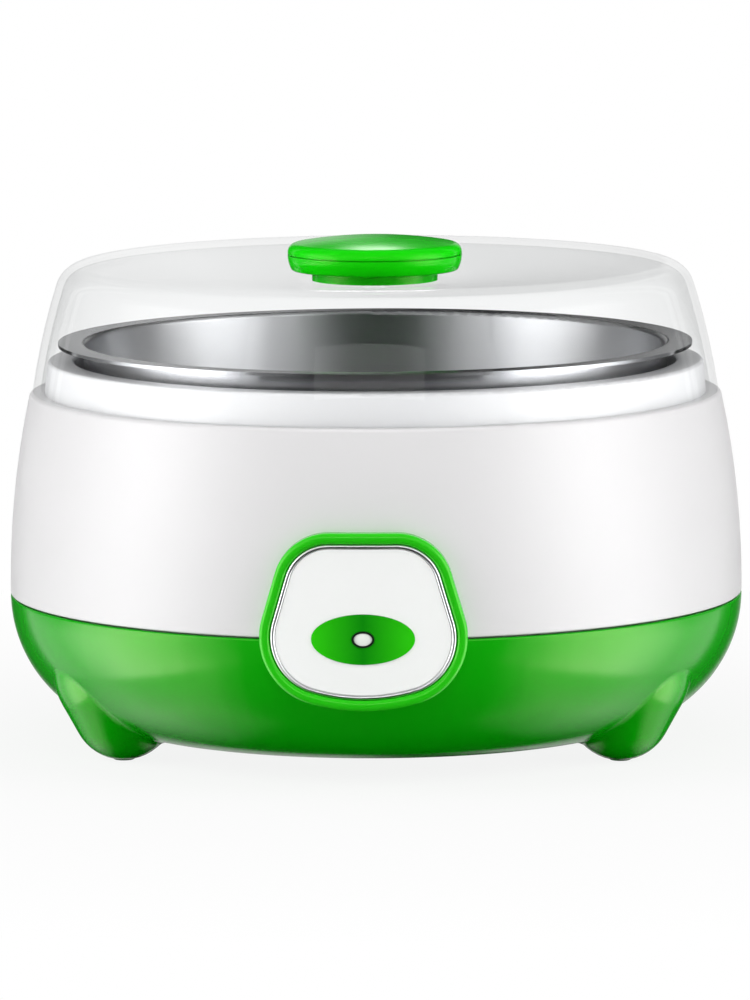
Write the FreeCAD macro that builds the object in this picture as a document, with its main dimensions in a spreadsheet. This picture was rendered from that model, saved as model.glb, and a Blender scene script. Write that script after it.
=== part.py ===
# Yogurt maker: a clear lid with a green knob, a steel pot, a white body and a green base on three feet.
# Millimetres and degrees, +Z up, front at -Y, origin on the floor under the centre of the body.
import FreeCAD
import Part
import Sketcher
import math
import os
import re
from FreeCAD import Placement, Rotation, Vector

SIZES = {
    # Outer form of the body and base
    "body_radius": 87.5,
    "bottom_z": 4.0,
    "seam_z": 36.0,
    "shoulder_z": 84.0,
    "shoulder_radius": 82.5,
    "barrel_arc": 214.0,
    "wall": 2.2,
    "seam_gap": 0.15,
    "rim_drop": 0.25,
    "rest_gap": 0.1,
    "edge_round": 0.4,
    "shoulder_round": 0.9,
    "lip_radius": 77.8,
    "tongue_inner": 82.9,
    "tongue_outer": 84.75,
    "tongue_depth": 2.6,
    "tongue_root": 3.0,
    # Feet, each a small ball that widens upwards to a larger one, and their pads
    "foot_ring": 67.7,
    "foot_tip": 12.2,
    "foot_radius": 16.6,
    "foot_z": 21.3,
    "foot_top_z": 30.0,
    "foot_hollow": 12.5,
    "foot_hollow_z": 17.0,
    "foot_flat_z": 0.15,
    "foot_blend": 3.0,
    "pad_radius": 2.7,
    "pad_round": 0.6,
    "pad_depth": 0.9,
    "pad_gap": 0.1,
    # Lid
    "lid_radius": 81.9,
    "lid_wall": 1.8,
    "lid_arc": 165.0,
    "lid_round": 7.0,
    "lid_round_ring": 69.3,
    "lid_round_z": 107.8,
    "lid_lean": 17.0,
    "dish_lean": 4.8,
    "dish_radius": 18.0,
    "dish_z": 110.5,
    "lid_hole": 3.2,
    # Knob and its screw
    "knob_radius": 20.8,
    "knob_split_z": 116.9,
    "knob_edge_z": 117.2,
    "knob_round": 2.2,
    "knob_lean": 10.0,
    "knob_top_z": 121.0,
    "knob_groove": 0.3,
    "knob_groove_depth": 0.8,
    "knob_rim_radius": 19.8,
    "knob_rim_z": 112.9,
    "knob_rim_round": 0.7,
    "knob_bowl": 7.35,
    "knob_neck": 15.0,
    "knob_boss": 5.9,
    "knob_boss_z": 113.8,
    "knob_pilot_z": 118.6,
    "washer_radius": 4.6,
    "washer_thick": 0.8,
    # Pot
    "pot_wall": 0.8,
    "pot_top_z": 96.0,
    "flange_radius": 75.7,
    "pot_radius": 70.0,
    "pot_foot_radius": 65.5,
    "pot_corner": 12.0,
    "flange_round": 1.05,
    # Liner with its collar and well
    "collar_radius": 79.0,
    "collar_top_radius": 78.2,
    "collar_top_z": 91.7,
    "collar_round": 0.8,
    "hollow_radius": 75.8,
    "neck_radius": 77.6,
    "neck_z": 81.6,
    "well_radius": 71.8,
    "well_foot_radius": 67.6,
    "well_corner": 6.0,
    "liner_wall": 2.0,
    "liner_floor_z": 20.0,
    "liner_floor": 2.4,
    "aperture": 42.0,
    "rebate_gap": 0.4,
    # Warming plate and the heater clamped under it
    "plate_top_z": 22.2,
    "plate_thick": 3.0,
    "plate_radius": 50.0,
    "plate_chamfer": 0.6,
    "seal_thick": 0.8,
    "seal_inner": 43.0,
    "plate_boss": 3.5,
    "plate_boss_drop": 1.4,
    "bridge_screw_x": 26.0,
    "bridge_half": 48.0,
    "bridge_width": 14.0,
    "bridge_thick": 1.2,
    "bridge_flat": 18.0,
    "bridge_slope": 4.0,
    "heater_half": 15.0,
    "heater_half_width": 6.5,
    "chip_thick": 2.8,
    "electrode_thick": 0.5,
    "film_thick": 0.4,
    "film_margin": 1.0,
    "tab_x": 12.0,
    "tab_width": 4.0,
    "tab_reach": 15.0,
    # Cut-out fuse against the plate
    "fuse_y": 28.0,
    "fuse_radius": 2.0,
    "fuse_half": 5.0,
    "fuse_wire": 0.5,
    "fuse_wire_half": 12.0,
    "sleeve_radius": 2.5,
    "sleeve_wall": 0.4,
    "sleeve_half": 9.0,
    "clip_thick": 0.6,
    "clip_width": 5.0,
    "clip_reach": 8.0,
    "clip_screw_reach": 5.2,
    # Front panel: the outline is the bead's outer edge, and insets are measured from it
    "panel_top_z": 60.8,
    "panel_bottom_z": 19.7,
    "panel_half_top": 17.5,
    "panel_lean": 16.3,
    "panel_top_round": 13.2,
    "panel_low_round": 15.6,
    "panel_sag": 47.4,
    "pod_inset": 1.3,
    "notch_inset": 1.15,
    "frame_inset": 2.5,
    "chrome_inset": 3.65,
    "panel_gap": 0.05,
    "pod_face": 88.0,
    "plate_face": 88.8,
    "window_face": 89.0,
    "chrome_face": 89.15,
    "chrome_round": 0.5,
    "frame_face": 89.7,
    "frame_round": 1.05,
    "oval_z": 36.3,
    "oval_half_wide": 11.9,
    "oval_half_high": 5.8,
    "lamp_half_wide": 2.6,
    "lamp_half_high": 1.9,
    "lens_half_wide": 2.1,
    "lens_half_high": 1.45,
    "lens_ball": 6.0,
    "lens_back_y": 83.2,
    # Lamp board
    "board_y": 76.0,
    "board_thick": 1.2,
    "board_half": 12.0,
    "board_half_high": 7.0,
    "post_x": 9.0,
    "post_radius": 2.2,
    "led_radius": 1.5,
    "led_rim": 1.9,
    "led_rim_thick": 1.0,
    "led_length": 5.6,
    "resistor_radius": 1.1,
    "resistor_half": 3.1,
    "resistor_z": 33.0,
    # Appliance inlet
    "inlet_z": 28.0,
    "inlet_face": 89.8,
    "inlet_flange": 1.6,
    "inlet_flange_half": 4.2,
    "inlet_flange_round": 6.3,
    "inlet_straight": 3.2,
    "inlet_body_round": 5.0,
    "inlet_recess_round": 3.9,
    "inlet_depth": 14.0,
    "inlet_recess_depth": 10.5,
    "inlet_boss_round": 6.9,
    "pin_x": 4.3,
    "pin_radius": 1.18,
    "pin_sunk": 1.8,
    "pin_tail": 3.6,
    # Screws that hold the base to the liner
    "screw_ring": 58.0,
    "boss_radius": 4.5,
    "boss_end_z": 10.1,
    "base_post_radius": 5.0,
    "base_post_top_z": 10.0,
    "counterbore": 3.3,
    "screw_seat_z": 7.5,
    "head_radius": 2.9,
    "head_thick": 1.9,
    "shank_radius": 1.4,
    "screw_gap": 0.1,
    "screw_length": 9.0,
    "small_head_radius": 1.9,
    "small_head_thick": 1.2,
    "small_shank": 0.9,
    "small_screw_length": 6.0,
    "slot_half": 1.7,
    "slot_half_wide": 0.35,
    "slot_depth": 1.0,
    # Wires
    "lead_radius": 0.8,
    "lamp_lead_radius": 0.65,
}
FEET = 3
BACK_FOOT_ANGLE = 90
FRONT_POST_ANGLE = 270
ORIGIN_POINT = (-1, 1)
START = 1
END = 2
CENTRE = 3
H_AXIS = -1
V_AXIS = -2
TINY = 1e-9
TOUCH = 1e-4
RUN_SHARE = 0.45
FACING_FRONT = Rotation(Vector(1, 0, 0), 90)
ALONG_X = Rotation(Vector(0, 1, 0), 90)
PAST_FRONT = "0.3 * body_radius"

doc = FreeCAD.newDocument("YogurtMaker")
sheet = doc.addObject("Spreadsheet::Sheet", "Sizes")
for row, (alias, size) in enumerate(SIZES.items(), 1):
    sheet.set(f"A{row}", alias)
    sheet.set(f"B{row}", str(size))
    sheet.setAlias(f"B{row}", alias)
doc.recompute()


# Sizes and how they are bound

def linked(expression):
    """The expression with each size's name made a reference to its cell."""
    def cell(word):
        return "Sizes." + word.group() if word.group() in SIZES else word.group()
    return re.sub(r"[a-z][a-z0-9_]*", cell, str(expression))


def number(expression):
    return float(sheet.evalExpression(linked(expression)))


def bind(item, path, expression):
    item.setExpression(path, linked(expression))


def place(item, at, turn=None):
    item.Placement = Placement(Vector(), turn or Rotation())
    for axis, expression in zip("xyz", at):
        bind(item, "Placement.Base." + axis, expression)


# Sketches

def dimension(sketch, kind, points, expression):
    index = sketch.addConstraint(Sketcher.Constraint(kind, *points, number(expression)))
    sketch.setExpression(f"Constraints[{index}]", linked(expression))


def fix_point(sketch, curve, end, x, y):
    for kind, axis, expression in (("DistanceX", V_AXIS, x), ("DistanceY", H_AXIS, y)):
        if abs(number(expression)) < TINY:
            sketch.addConstraint(Sketcher.Constraint("PointOnObject", curve, end, axis))
        else:
            dimension(sketch, kind, (*ORIGIN_POINT, curve, end), expression)


def arc_through(a, b, radius, turn):
    """The short arc from a to b, anticlockwise where turn is 1 and clockwise where it is -1."""
    half = (b - a) * 0.5
    side = Vector(-half.y, half.x, 0).normalize() * turn
    centre = a + half + side * math.sqrt(max(radius ** 2 - half.Length ** 2, 0))
    first, last = (a, b) if turn > 0 else (b, a)
    angles = [math.atan2(p.y - centre.y, p.x - centre.x) for p in (first, last)]
    return Part.ArcOfCircle(Part.Circle(centre, Vector(0, 0, 1), radius), *angles)


def add_outline(sketch, points):
    """A closed outline. A point is (x, y), or (x, y, radius, turn) where an arc leaves it."""
    first = sketch.GeometryCount
    spots = [Vector(number(point[0]), number(point[1]), 0) for point in points]
    ends = []
    for index, point in enumerate(points):
        following = spots[(index + 1) % len(points)]
        if len(point) == 2:
            sketch.addGeometry(Part.LineSegment(spots[index], following))
            ends.append((START, END))
        else:
            sketch.addGeometry(arc_through(spots[index], following, number(point[2]), point[3]))
            ends.append((START, END) if point[3] > 0 else (END, START))
    for index, point in enumerate(points):
        after = (index + 1) % len(points)
        corner = (first + index, ends[index][1], first + after, ends[after][0])
        sketch.addConstraint(Sketcher.Constraint("Coincident", *corner))
        fix_point(sketch, first + index, ends[index][0], point[0], point[1])
        if len(point) > 2:
            dimension(sketch, "Radius", (first + index,), point[2])


def add_circle(sketch, x, y, radius):
    spot = Vector(number(x), number(y), 0)
    index = sketch.addGeometry(Part.Circle(spot, Vector(0, 0, 1), number(radius)))
    fix_point(sketch, index, CENTRE, x, y)
    dimension(sketch, "Radius", (index,), radius)


def add_stadium(sketch, half, radius, middle):
    """A slot shape with round ends, lying level about a height."""
    low = f"{middle} - {radius}"
    high = f"{middle} + {radius}"
    add_outline(sketch, [
        (f"-{half}", low),
        (half, low, radius, 1),
        (f"{half} + {radius}", middle, radius, 1),
        (half, high),
        (f"-{half}", high, radius, 1),
        (f"-{half} - {radius}", middle, radius, 1),
    ])


def add_shield(sketch, inset):
    """The front panel's outline, drawn in by an inset: flat top, leaning sides and a sagging bottom edge."""
    lean = math.radians(number("panel_lean"))
    top = f"panel_top_z - {inset}"
    half_top = f"panel_half_top - {inset} * tan(45 deg - panel_lean * 0.5 deg)"
    top_round = f"panel_top_round - {inset}"
    low_round = f"panel_low_round - {inset}"
    sag = f"panel_sag - {inset}"
    corner = Vector(number(half_top), number(top), 0)
    outward = Vector(math.cos(lean), math.sin(lean), 0)
    downward = Vector(math.sin(lean), -math.cos(lean), 0)
    reach = number(top_round) * math.tan(math.pi / 4 - lean / 2)
    top_centre = corner + Vector(-reach, -number(top_round), 0)
    sag_centre = Vector(0, number("panel_bottom_z + panel_sag"), 0)
    start = corner - outward * number(low_round) - sag_centre
    along = start.dot(downward)
    spread = number(sag) - number(low_round)
    slide = -along + math.sqrt(along ** 2 - start.dot(start) + spread ** 2)
    low_offset = start + downward * slide
    low_centre = low_offset + sag_centre
    low_angle = math.atan2(low_offset.y, low_offset.x)

    def mirrored(point):
        return Vector(-point.x, point.y, 0)

    def arc(centre, radius, begin, finish):
        return Part.ArcOfCircle(Part.Circle(centre, Vector(0, 0, 1), number(radius)), begin, finish)

    side_top = top_centre + outward * number(top_round)
    side_low = low_centre + outward * number(low_round)
    first = sketch.GeometryCount
    top_right = Vector(top_centre.x, corner.y, 0)
    curves = [
        Part.LineSegment(top_right, mirrored(top_right)),
        arc(mirrored(top_centre), top_round, math.pi / 2, math.pi - lean),
        Part.LineSegment(mirrored(side_top), mirrored(side_low)),
        arc(mirrored(low_centre), low_round, math.pi - lean, math.pi - low_angle),
        arc(sag_centre, sag, math.pi - low_angle, 2 * math.pi + low_angle),
        arc(low_centre, low_round, low_angle, lean),
        Part.LineSegment(side_low, side_top),
        arc(top_centre, top_round, lean, math.pi / 2),
    ]
    for curve in curves:
        sketch.addGeometry(curve)
    top_edge, left_top, left_side, left_low, bottom, right_low, right_side, right_top = (
        first + index for index in range(len(curves)))
    for index in range(len(curves)):
        after = first + (index + 1) % len(curves)
        sketch.addConstraint(Sketcher.Constraint("Tangent", first + index, END, after, START))
    for end in (START, END):
        dimension(sketch, "DistanceY", (*ORIGIN_POINT, top_edge, end), top)
    for curve, radius in ((left_top, top_round), (right_top, top_round), (left_low, low_round),
                          (right_low, low_round), (bottom, sag)):
        dimension(sketch, "Radius", (curve,), radius)
    fix_point(sketch, bottom, CENTRE, "0", "panel_bottom_z + panel_sag")
    angle = sketch.addConstraint(Sketcher.Constraint("Angle", right_side, math.pi / 2 + lean))
    sketch.setExpression(f"Constraints[{angle}]", linked("90 + panel_lean"))
    sketch.addConstraint(Sketcher.Constraint("Symmetric", left_top, END, right_top, START, V_AXIS))
    tip = sketch.addGeometry(Part.Point(corner), True)
    fix_point(sketch, tip, START, half_top, top)
    sketch.addConstraint(Sketcher.Constraint("PointOnObject", tip, START, right_side))


# Bodies made from sketches

def new_body(name):
    return doc.addObject("PartDesign::Body", name)


def origin_feature(body, role):
    return [feature for feature in body.Origin.OriginFeatures if feature.Role == role][0]


def new_sketch(body, name, plane, lift="0"):
    """A sketch on a plane of the body's origin, lifted along the plane's normal."""
    sketch = body.newObject("Sketcher::SketchObject", name)
    sketch.AttachmentSupport = [(origin_feature(body, plane), "")]
    sketch.MapMode = "FlatFace"
    bind(sketch, "AttachmentOffset.Base.z", lift)
    return sketch


def add_axis(sketch, x):
    """An upright construction line to turn a profile about, at a distance from the middle."""
    middle = number(x)
    line = sketch.addGeometry(Part.LineSegment(Vector(middle, 0, 0), Vector(middle, 1, 0)), True)
    fix_point(sketch, line, START, x, "0")
    fix_point(sketch, line, END, x, "1")


def turned(name, points, axis=None, plane="XZ_Plane", lift="0"):
    """A body turned about the vertical axis of its sketch, or about a line at a distance from it."""
    body = new_body(name)
    sketch = new_sketch(body, name + "_profile", plane, lift)
    add_outline(sketch, points)
    if axis:
        add_axis(sketch, axis)
    feature = body.newObject("PartDesign::Revolution", name + "_turned")
    feature.Profile = sketch
    feature.ReferenceAxis = (sketch, ["Axis0" if axis else "V_Axis"])
    feature.Angle = 360
    body.Tip = feature
    return body


def rounded(body, name, radius, rings):
    """Rounds the circular edges of a turned body at the given radii and heights."""
    doc.recompute()
    base = body.Tip
    spots = [(number(ring), number(height)) for ring, height in rings]
    names = []
    for index, edge in enumerate(base.Shape.Edges, 1):
        if not isinstance(edge.Curve, Part.Circle):
            continue
        found = (edge.Curve.Radius, edge.Curve.Center.z)
        if any(math.dist(found, spot) < TOUCH for spot in spots):
            names.append(f"Edge{index}")
    if len(names) != len(rings):
        raise ValueError(f"{name}: found {len(names)} of {len(rings)} edges")
    return fillet(body, name, base, names, radius)


def fillet(body, name, base, names, radius):
    feature = body.newObject("PartDesign::Fillet", name)
    feature.Base = (base, names)
    bind(feature, "Radius", radius)
    body.Tip = feature
    return body


def pattern(body, name, features, count):
    """The features repeated evenly round the vertical axis."""
    feature = body.newObject("PartDesign::PolarPattern", name)
    feature.Originals = features
    feature.Axis = (origin_feature(body, "Z_Axis"), [""])
    feature.Angle = 360
    feature.Occurrences = count
    body.Tip = feature


def mirror(body, name, features):
    """The features repeated on the other side of the middle plane."""
    feature = body.newObject("PartDesign::Mirrored", name)
    feature.Originals = features
    feature.MirrorPlane = (origin_feature(body, "YZ_Plane"), [""])
    body.Tip = feature


def pocket(body, name, sketch, depth, reverse):
    feature = body.newObject("PartDesign::Pocket", name)
    feature.Profile = sketch
    bind(feature, "Length", depth)
    feature.Reversed = reverse
    body.Tip = feature
    return feature


def pad(body, name, sketch, length, reverse=False, middle=False):
    feature = body.newObject("PartDesign::Pad", name)
    feature.Profile = sketch
    bind(feature, "Length", length)
    feature.Reversed = reverse
    feature.Midplane = middle
    body.Tip = feature
    return feature


# Solids made from primitives and prisms

def cylinder(name, radius, height, at, turn=None):
    item = doc.addObject("Part::Cylinder", name)
    bind(item, "Radius", radius)
    bind(item, "Height", height)
    place(item, at, turn)
    return item


def sphere(name, radius, at):
    item = doc.addObject("Part::Sphere", name)
    bind(item, "Radius", radius)
    place(item, at)
    return item


def box(name, lengths, at):
    item = doc.addObject("Part::Box", name)
    for side, expression in zip(("Length", "Width", "Height"), lengths):
        bind(item, side, expression)
    place(item, at)
    return item


def extruded(name, base, length):
    item = doc.addObject("Part::Extrusion", name)
    item.Base = base
    item.DirMode = "Custom"
    item.Dir = Vector(0, -1, 0)
    item.Solid = True
    bind(item, "LengthFwd", length)
    return item


def prism(name, draw, back, length):
    """An outline drawn in x and z, standing at y = back and reaching forward by a length."""
    sketch = doc.addObject("Sketcher::SketchObject", name + "_outline")
    place(sketch, ("0", back, "0"), FACING_FRONT)
    draw(sketch)
    return extruded(name, sketch, length)


def panel_prism(name, *insets):
    """The panel's outline as a prism through the front wall: solid, or a ring between two insets."""
    def draw(sketch):
        for inset in insets:
            add_shield(sketch, inset)
    return prism(name, draw, "-0.7 * body_radius", "0.5 * body_radius")


def oval_prism(name, half_wide, half_high, back, length):
    base = doc.addObject("Part::Ellipse", name + "_outline")
    bind(base, "MajorRadius", half_wide)
    bind(base, "MinorRadius", half_high)
    place(base, ("0", back, "oval_z"), FACING_FRONT)
    return extruded(name, base, length)


def inlet_outline(half, radius):
    """What draws a stadium about the middle of the inlet."""
    return lambda sketch: add_stadium(sketch, half, radius, "inlet_z")


def drum(name, radius):
    """An upright cylinder about the middle, as tall as the body, that gives the panel its curve."""
    return cylinder(name, radius, "shoulder_z", ("0", "0", "0"))


def joined(name, *items):
    item = doc.addObject("Part::MultiFuse", name)
    item.Shapes = list(items)
    item.Refine = False
    return item


def cut(name, base, *tools):
    item = doc.addObject("Part::Cut", name)
    item.Base = base
    item.Tool = tools[0] if len(tools) == 1 else joined(name + "_tools", *tools)
    item.Refine = False
    return item


def common(name, base, tool):
    item = doc.addObject("Part::Common", name)
    item.Base = base
    item.Tool = tool
    item.Refine = False
    return item


def around(ring, first_angle):
    """Places evenly round the middle, as x and y expressions, starting at an angle from +X."""
    for index in range(FEET):
        angle = first_angle + index * 360 // FEET
        yield f"{ring} * cos({angle} deg)", f"{ring} * sin({angle} deg)"


# Lid

def lid_dome():
    """The clear lid: a leaning wall, a rounded shoulder and a dished top with a hole for the knob's screw."""
    bottom = "shoulder_z + rest_gap"
    inside = "(lid_round - lid_wall)"
    lid = turned("lid_dome", [
        ("lid_radius", bottom, "lid_arc", 1),
        ("lid_round_ring + lid_round * cos(lid_lean * 1 deg)",
         "lid_round_z + lid_round * sin(lid_lean * 1 deg)", "lid_round", 1),
        ("lid_round_ring - lid_round * sin(dish_lean * 1 deg)",
         "lid_round_z + lid_round * cos(dish_lean * 1 deg)"),
        ("dish_radius", "dish_z"),
        ("lid_hole", "dish_z"),
        ("lid_hole", "dish_z - lid_wall"),
        ("dish_radius", "dish_z - lid_wall"),
        (f"lid_round_ring - {inside} * sin(dish_lean * 1 deg)",
         f"lid_round_z + {inside} * cos(dish_lean * 1 deg)", inside, -1),
        (f"lid_round_ring + {inside} * cos(lid_lean * 1 deg)",
         f"lid_round_z + {inside} * sin(lid_lean * 1 deg)", "lid_arc - lid_wall", -1),
        ("lid_radius - lid_wall", bottom),
    ])
    return rounded(lid, "lid_edge", "edge_round", [("lid_radius", bottom), ("lid_radius - lid_wall", bottom)])


def knob_cap():
    """The crowned top half of the knob, with a boss that takes the screw."""
    crown_reach = "(knob_radius - knob_round + knob_round * sin(knob_lean * 1 deg))"
    crown_z = "(knob_edge_z + knob_round * cos(knob_lean * 1 deg))"
    crown_rise = f"(knob_top_z - {crown_z})"
    crown = f"({crown_reach} ^ 2 + {crown_rise} ^ 2) / (2 * {crown_rise})"
    return turned("knob_cap", [
        ("shank_radius + screw_gap", "knob_boss_z"),
        ("knob_boss", "knob_boss_z"),
        ("knob_boss", "knob_split_z"),
        ("knob_radius", "knob_split_z"),
        ("knob_radius", "knob_edge_z", "knob_round", 1),
        (crown_reach, crown_z, crown, 1),
        ("0", "knob_top_z"),
        ("0", "knob_pilot_z"),
        ("shank_radius + screw_gap", "knob_pilot_z"),
    ])


def knob_base():
    """The lower half of the knob: a short neck on the lid under a rim that swells to the parting groove."""
    base = turned("knob_base", [
        ("lid_hole", "dish_z"),
        ("knob_neck", "dish_z"),
        ("knob_neck", "knob_rim_z"),
        ("knob_rim_radius", "knob_rim_z", "knob_bowl", 1),
        ("knob_radius", "knob_split_z - knob_groove"),
        ("knob_radius - knob_groove_depth", "knob_split_z - knob_groove"),
        ("knob_radius - knob_groove_depth", "knob_split_z"),
        ("knob_boss + screw_gap", "knob_split_z"),
        ("knob_boss + screw_gap", "knob_boss_z - screw_gap"),
        ("lid_hole", "knob_boss_z - screw_gap"),
    ])
    return rounded(base, "knob_rim_edge", "knob_rim_round", [("knob_rim_radius", "knob_rim_z")])


def add_cross_slot(body, name, head_z, x="0", y="0"):
    """A cross slot sunk into the underside of a screw's head."""
    sketch = new_sketch(body, name + "_outline", "XY_Plane", head_z)
    steps = [
        ("slot_half", "slot_half_wide"),
        ("slot_half_wide", "slot_half_wide"),
        ("slot_half_wide", "slot_half"),
    ]
    points = [(f"{x} + {a}", f"{y} + {b}") for a, b in steps]
    points += [(f"{x} - {a}", f"{y} + {b}") for a, b in reversed(steps)]
    points += [(f"{x} - {a}", f"{y} - {b}") for a, b in steps]
    points += [(f"{x} + {a}", f"{y} - {b}") for a, b in reversed(steps)]
    add_outline(sketch, points)
    return pocket(body, name, sketch, "slot_depth", True)


def screw_profile(axis, seat, length):
    """A pan-head screw that points up, with its head under the seat."""
    return [
        (axis, f"{seat} - head_thick"),
        (f"{axis} + head_radius", f"{seat} - head_thick + edge_round"),
        (f"{axis} + head_radius", seat),
        (f"{axis} + shank_radius", seat),
        (f"{axis} + shank_radius", f"{seat} + {length} - shank_radius"),
        (f"{axis} + 0.3 * shank_radius", f"{seat} + {length}"),
        (axis, f"{seat} + {length}"),
    ]


def knob_screw():
    seat = "dish_z - lid_wall - washer_thick"
    screw = turned("knob_screw", screw_profile("0", seat, "screw_length"))
    add_cross_slot(screw, "knob_screw_slot", f"{seat} - head_thick")
    return screw


def knob_washer():
    top = "dish_z - lid_wall"
    return turned("knob_washer", [
        ("shank_radius + screw_gap", f"{top} - washer_thick"),
        ("washer_radius", f"{top} - washer_thick"),
        ("washer_radius", top),
        ("shank_radius + screw_gap", top),
    ])


# Pot

def inner_pot():
    """The pressed pot: a flat flange, a slightly drawn-in wall and a rounded floor."""
    floor = "plate_top_z + rest_gap"
    pot = turned("inner_pot", [
        ("0", floor),
        ("pot_foot_radius", floor),
        ("pot_radius", "pot_top_z - pot_wall"),
        ("flange_radius", "pot_top_z - pot_wall"),
        ("flange_radius", "pot_top_z"),
        ("pot_radius - pot_wall", "pot_top_z"),
        ("pot_foot_radius - pot_wall", f"{floor} + pot_wall"),
        ("0", f"{floor} + pot_wall"),
    ])
    inside = [("pot_foot_radius - pot_wall", f"{floor} + pot_wall")]
    rounded(pot, "pot_corner_inside", "pot_corner - pot_wall", inside)
    rounded(pot, "pot_corner_outside", "pot_corner", [("pot_foot_radius", floor)])
    rounded(pot, "flange_inside", "flange_round", [("pot_radius - pot_wall", "pot_top_z")])
    return rounded(pot, "flange_outside", "flange_round - pot_wall", [("pot_radius", "pot_top_z - pot_wall")])


# Body

def outer_shell():
    """The white barrel: a shoulder that carries the liner's collar, and a tongue inside the base's rim."""
    bottom = "seam_z + seam_gap"
    inner = "shoulder_radius - wall"
    shell = turned("shell_form", [
        ("body_radius", bottom, "barrel_arc", 1),
        ("shoulder_radius", "shoulder_z"),
        ("lip_radius", "shoulder_z"),
        ("lip_radius", "shoulder_z - wall"),
        (inner, "shoulder_z - wall", "barrel_arc - wall", -1),
        ("body_radius - wall", f"{bottom} + tongue_root + wall"),
        ("tongue_inner", f"{bottom} + tongue_root"),
        ("tongue_inner", f"{bottom} - tongue_depth"),
        ("tongue_outer", f"{bottom} - tongue_depth"),
        ("tongue_outer", bottom),
    ])
    rounded(shell, "shell_bottom_edge", "edge_round", [("body_radius", bottom)])
    rounded(shell, "shell_shoulder_edge", "shoulder_round", [("shoulder_radius", "shoulder_z")])
    return cut("outer_shell", shell, panel_prism("shell_notch", "notch_inset"))


def inner_liner():
    """The white well that the pot stands in: a flat collar, hollow from below, and bosses for the base."""
    under = "liner_floor_z - liner_floor"
    hollow_top = "collar_top_z - liner_wall"
    rebate_z = "plate_top_z - plate_thick - seal_thick"
    liner = turned("inner_liner", [
        ("aperture", under),
        ("well_foot_radius + liner_wall", under),
        ("well_radius + liner_wall", hollow_top),
        ("hollow_radius", hollow_top),
        ("hollow_radius", "neck_z"),
        ("neck_radius", "neck_z"),
        ("neck_radius", "shoulder_z"),
        ("collar_radius", "shoulder_z"),
        ("collar_top_radius", "collar_top_z"),
        ("well_radius", "collar_top_z"),
        ("well_foot_radius", "liner_floor_z"),
        ("plate_radius + rebate_gap", "liner_floor_z"),
        ("plate_radius + rebate_gap", rebate_z),
        ("aperture", rebate_z),
    ])
    rounded(liner, "collar_edge", "collar_round", [("collar_top_radius", "collar_top_z"),
                                                   ("well_radius", "collar_top_z")])
    rounded(liner, "well_corner_outside", "well_corner", [("well_foot_radius + liner_wall", under)])
    rounded(liner, "well_corner_inside", "well_corner - liner_wall", [("well_foot_radius", "liner_floor_z")])
    boss_sketch = new_sketch(liner, "liner_boss_outline", "XY_Plane", "boss_end_z")
    add_circle(boss_sketch, "0", "-screw_ring", "boss_radius")
    boss = pad(liner, "liner_boss", boss_sketch, f"{under} - boss_end_z + edge_round")
    hole_sketch = new_sketch(liner, "liner_pilot_outline", "XY_Plane", "boss_end_z")
    add_circle(hole_sketch, "0", "-screw_ring", "shank_radius + screw_gap")
    hole = pocket(liner, "liner_pilot", hole_sketch, f"{under} - boss_end_z", True)
    pattern(liner, "liner_bosses", [boss, hole], FEET)
    return liner


def bowl_points(offset, drop):
    """The bowl's section from the middle of its floor to just below the seam, drawn in by an offset."""
    centre = "body_radius - seam_z + bottom_z"
    radius = f"(seam_z - bottom_z - {offset})"
    return [
        ("0", f"bottom_z + {offset}"),
        (centre, f"bottom_z + {offset}", radius, 1),
        (f"{centre} + sqrt({radius} ^ 2 - {drop} ^ 2)", f"seam_z - {drop}"),
    ]


def barrel_form(name, offset):
    """The whole rounded form of the base and body up to the shoulder, drawn in by an offset."""
    points = bowl_points(offset, "0")
    points[-1] += (f"barrel_arc - {offset}", 1)
    points += [(f"shoulder_radius - {offset}", "shoulder_z"), ("0", "shoulder_z")]
    return turned(name, points)


def base_form():
    """The green bowl with three rounded feet blended into it."""
    points = bowl_points("0", "rim_drop")
    body = turned("base_form", points + [("0", "seam_z - rim_drop")])
    rounded(body, "base_rim", "edge_round", [points[-1]])
    foot_sketch = new_sketch(body, "foot_profile", "YZ_Plane")
    flat_radius = "sqrt(foot_tip ^ 2 - (foot_tip - foot_flat_z) ^ 2)"
    top_radius = "sqrt(foot_radius ^ 2 - (foot_top_z - foot_z) ^ 2)"
    sine = "((foot_radius - foot_tip) / (foot_z - foot_tip))"
    cosine = f"sqrt(1 - {sine} ^ 2)"
    add_outline(foot_sketch, [
        ("foot_ring", "foot_flat_z"),
        (f"foot_ring + {flat_radius}", "foot_flat_z", "foot_tip", 1),
        (f"foot_ring + foot_tip * {cosine}", f"foot_tip * (1 - {sine})"),
        (f"foot_ring + foot_radius * {cosine}", f"foot_z - foot_radius * {sine}", "foot_radius", 1),
        (f"foot_ring + {top_radius}", "foot_top_z"),
        ("foot_ring", "foot_top_z"),
    ])
    add_axis(foot_sketch, "foot_ring")
    foot = body.newObject("PartDesign::Revolution", "foot_turned")
    foot.Profile = foot_sketch
    foot.ReferenceAxis = (foot_sketch, ["Axis0"])
    foot.Angle = 360
    pattern(body, "feet", [foot], FEET)
    doc.recompute()
    footed = body.Tip
    names = []
    for index, edge in enumerate(footed.Shape.Edges, 1):
        kinds = {type(face.Surface).__name__ for face in footed.Shape.ancestorsOfType(edge, Part.Face)}
        if "Toroid" in kinds and kinds & {"Sphere", "Cone"}:
            names.append(f"Edge{index}")
    return fillet(body, "foot_blends", footed, names, "foot_blend")


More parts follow.
